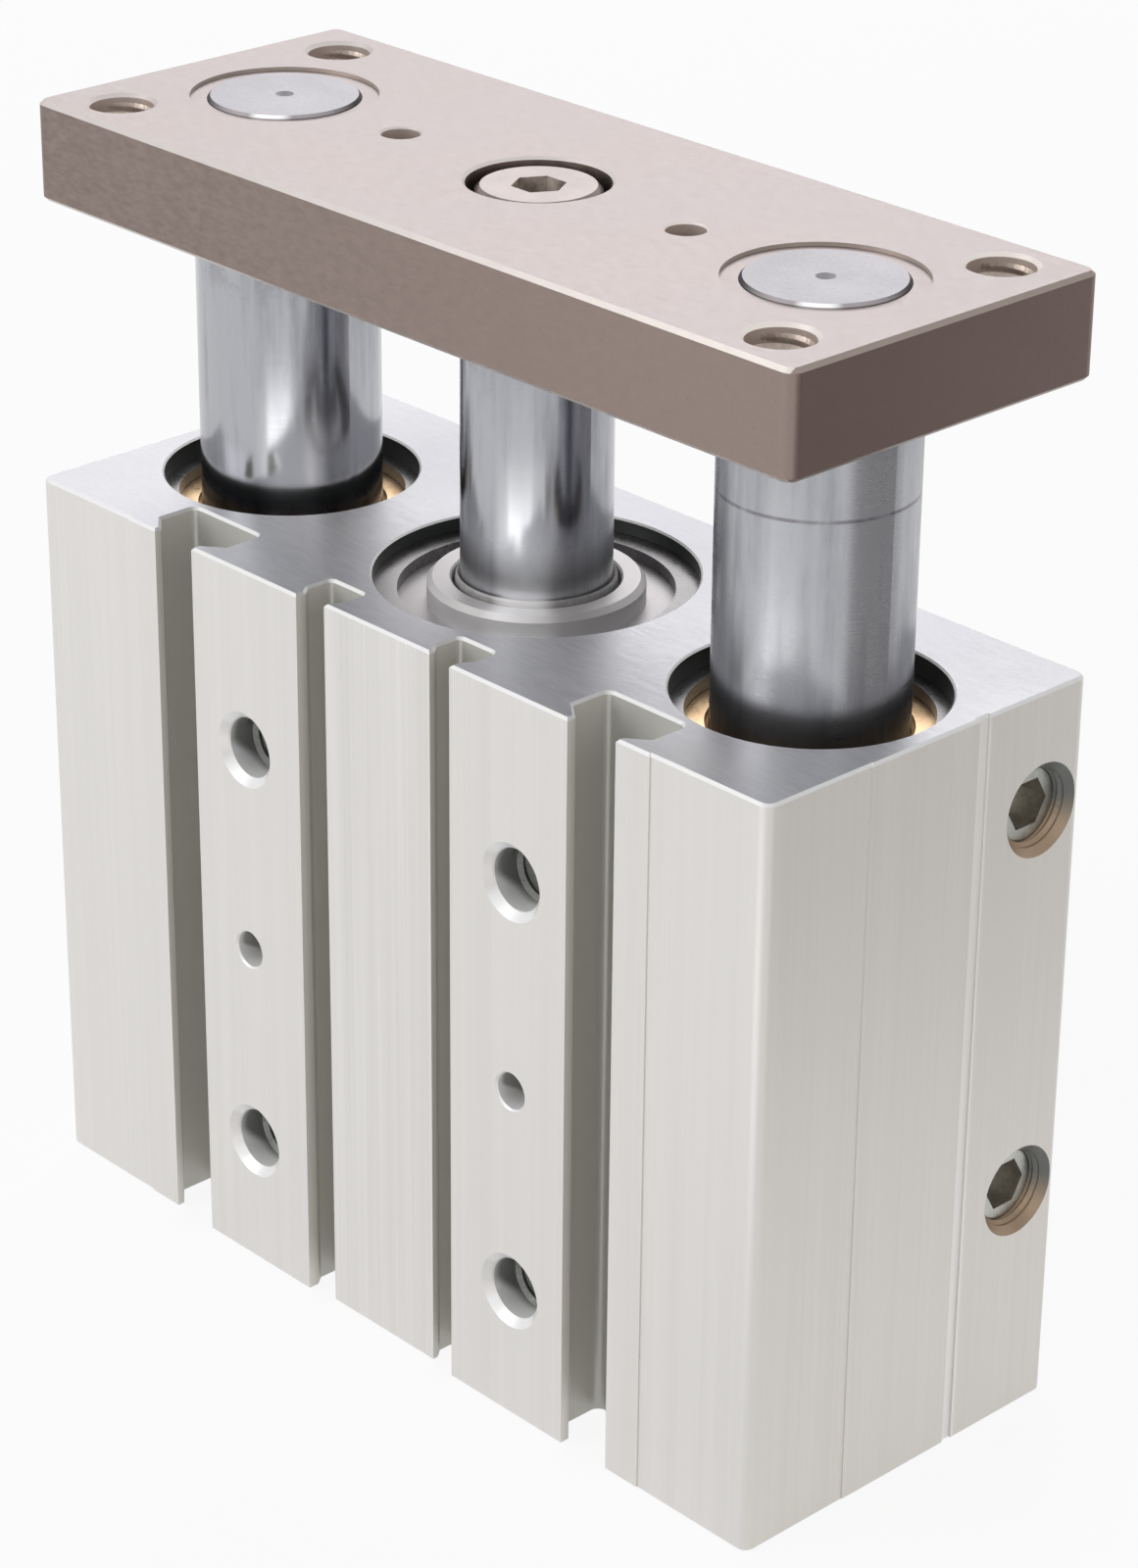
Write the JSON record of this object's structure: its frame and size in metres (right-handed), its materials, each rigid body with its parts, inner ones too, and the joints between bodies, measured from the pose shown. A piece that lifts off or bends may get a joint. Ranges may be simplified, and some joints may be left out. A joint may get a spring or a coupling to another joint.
{
  "type": "guided pneumatic cylinder",
  "caption": "Compact guided air cylinder: slotted aluminium body, piston rod and twin guide rods carrying a tapped tooling plate, shown part extended.",
  "frame": {"origin": "middle of the body's bottom face", "axes": "+Z along the stroke, towards the tooling plate; +X along the row of rods, towards the end face with the plugged ports; +Y towards the back face with the open ports, so the T-slots face -Y"},
  "size_m": [0.112, 0.0456, 0.1265],
  "materials": {
    "anodised_body": "satin clear anodised, fine extrusion lines",
    "rod_cover": "turned",
    "plate_nickel": "nickel plated, satin",
    "chrome_rod": "hard chrome, ground",
    "bolt_steel": "zinc plated",
    "plug_steel": "dark plated",
    "ring_steel": "phosphated spring steel",
    "bronze": "bearing bronze, turned",
    "black_rubber": "matt",
    "bumper_rubber": "matt",
    "felt": "oiled felt",
    "magnet": "bonded magnet",
    "wear_plastic": "filled plastic"
  },
  "bodies": {
    "barrel": {"body": "anodised_body", "rod_cover": "rod_cover", "rod_cover_ring": "ring_steel", "rod_cover_gasket": "black_rubber", "rod_seal": "black_rubber", "rod_bumper": "bumper_rubber", "head_cover": "rod_cover", "head_cover_ring": "ring_steel", "head_cover_gasket": "black_rubber", "head_bumper": "bumper_rubber", "passage_plug": "plug_steel", "guide_bush_lower_left": "bronze", "guide_bush_lower_right": "bronze", "guide_felt_left": "felt", "guide_felt_right": "felt", "guide_bush_upper_left": "bronze", "guide_bush_upper_right": "bronze", "guide_ring_left": "ring_steel", "guide_ring_right": "ring_steel", "port_plug_lower": "plug_steel", "port_plug_upper": "plug_steel"},
    "carriage": {"tooling_plate": "plate_nickel", "plate_bolt": "bolt_steel", "piston_rod": "chrome_rod", "piston": "rod_cover", "piston_nut": "bolt_steel", "piston_seal": "black_rubber", "magnet_ring": "magnet", "wear_ring": "wear_plastic", "guide_rod_left": "chrome_rod", "guide_rod_right": "chrome_rod"}
  },
  "joints": [
    {"name": "rod_slide", "type": "slide", "parent": "barrel", "child": "carriage", "axis": [0, 0, 1], "range_m": [-0.0215, 0.0285]}
  ]
}
